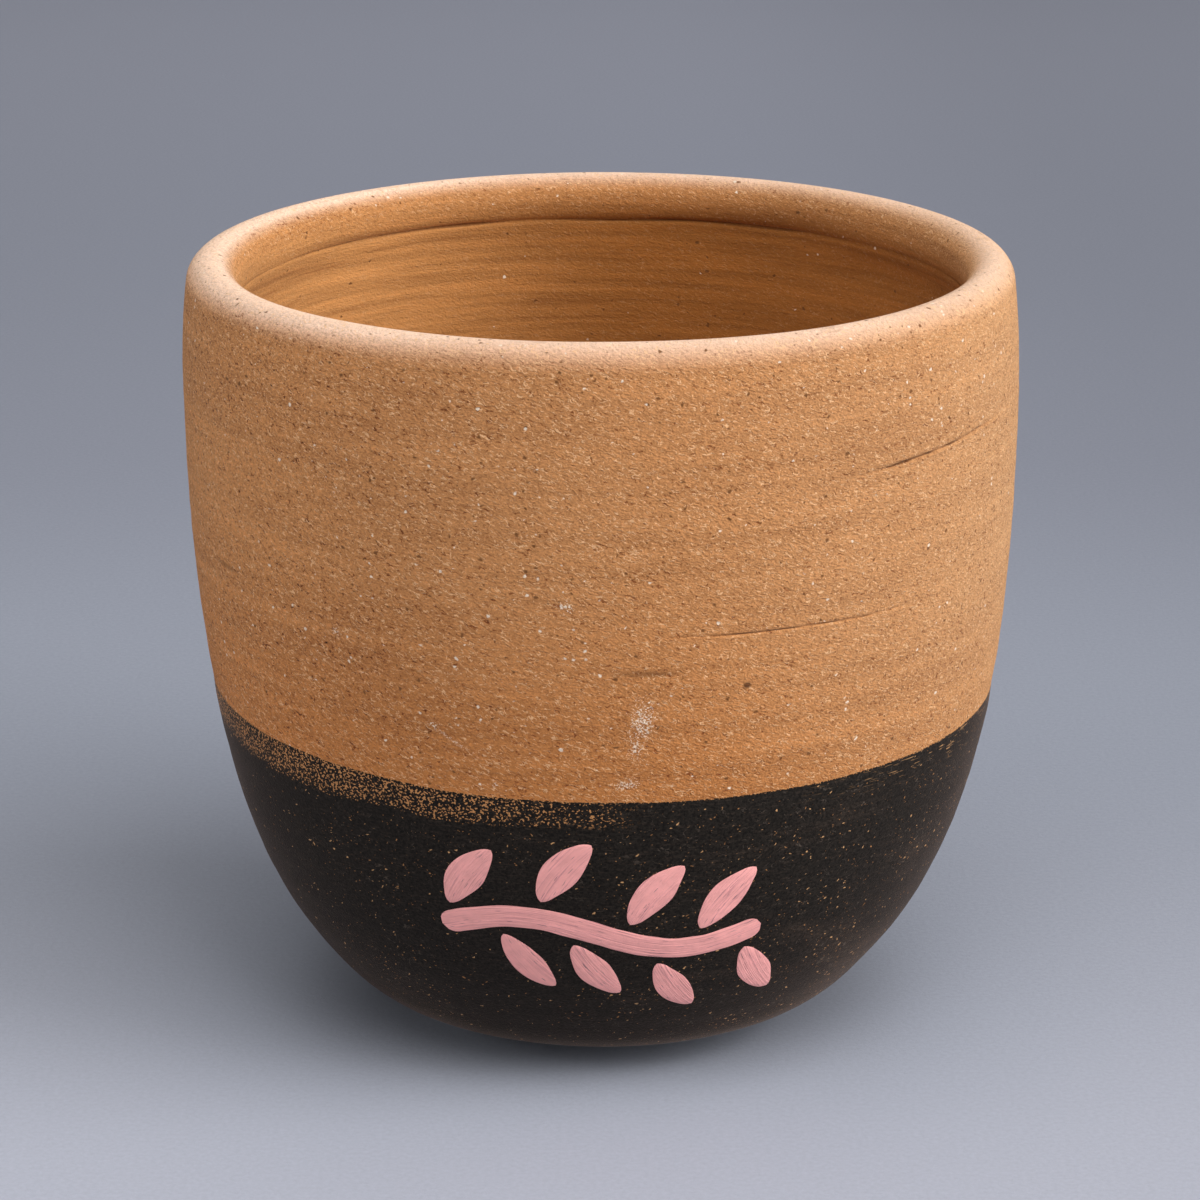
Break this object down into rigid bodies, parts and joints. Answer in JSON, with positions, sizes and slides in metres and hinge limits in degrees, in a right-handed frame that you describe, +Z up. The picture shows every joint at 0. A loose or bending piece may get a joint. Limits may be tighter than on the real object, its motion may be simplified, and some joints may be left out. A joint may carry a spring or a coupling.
{
  "type": "clay cup",
  "caption": "Round unglazed clay cup without a handle, with a thick rolled rim, a black painted lower wall and a pink brushed vine; holds a drink.",
  "frame": {"origin": "middle of the flat foot, on the surface that the cup stands on", "axes": "+Z up along the cup's axis; -Y is the front, where the vine is painted; +X to the right of someone facing the front"},
  "size_m": [0.09, 0.09, 0.0852],
  "materials": {
    "terracotta": "unglazed, sandy, matte",
    "black_paint": "matte black slip, thinly brushed",
    "pink_paint": "opaque paint with brush streaks"
  },
  "bodies": {
    "root": {"clay_body": "terracotta", "black_coat": "black_paint", "vine_stem": "pink_paint", "leaf_1": "pink_paint", "leaf_2": "pink_paint", "leaf_3": "pink_paint", "leaf_4": "pink_paint", "leaf_5": "pink_paint", "leaf_6": "pink_paint", "leaf_7": "pink_paint", "leaf_8": "pink_paint"}
  },
  "joints": []
}
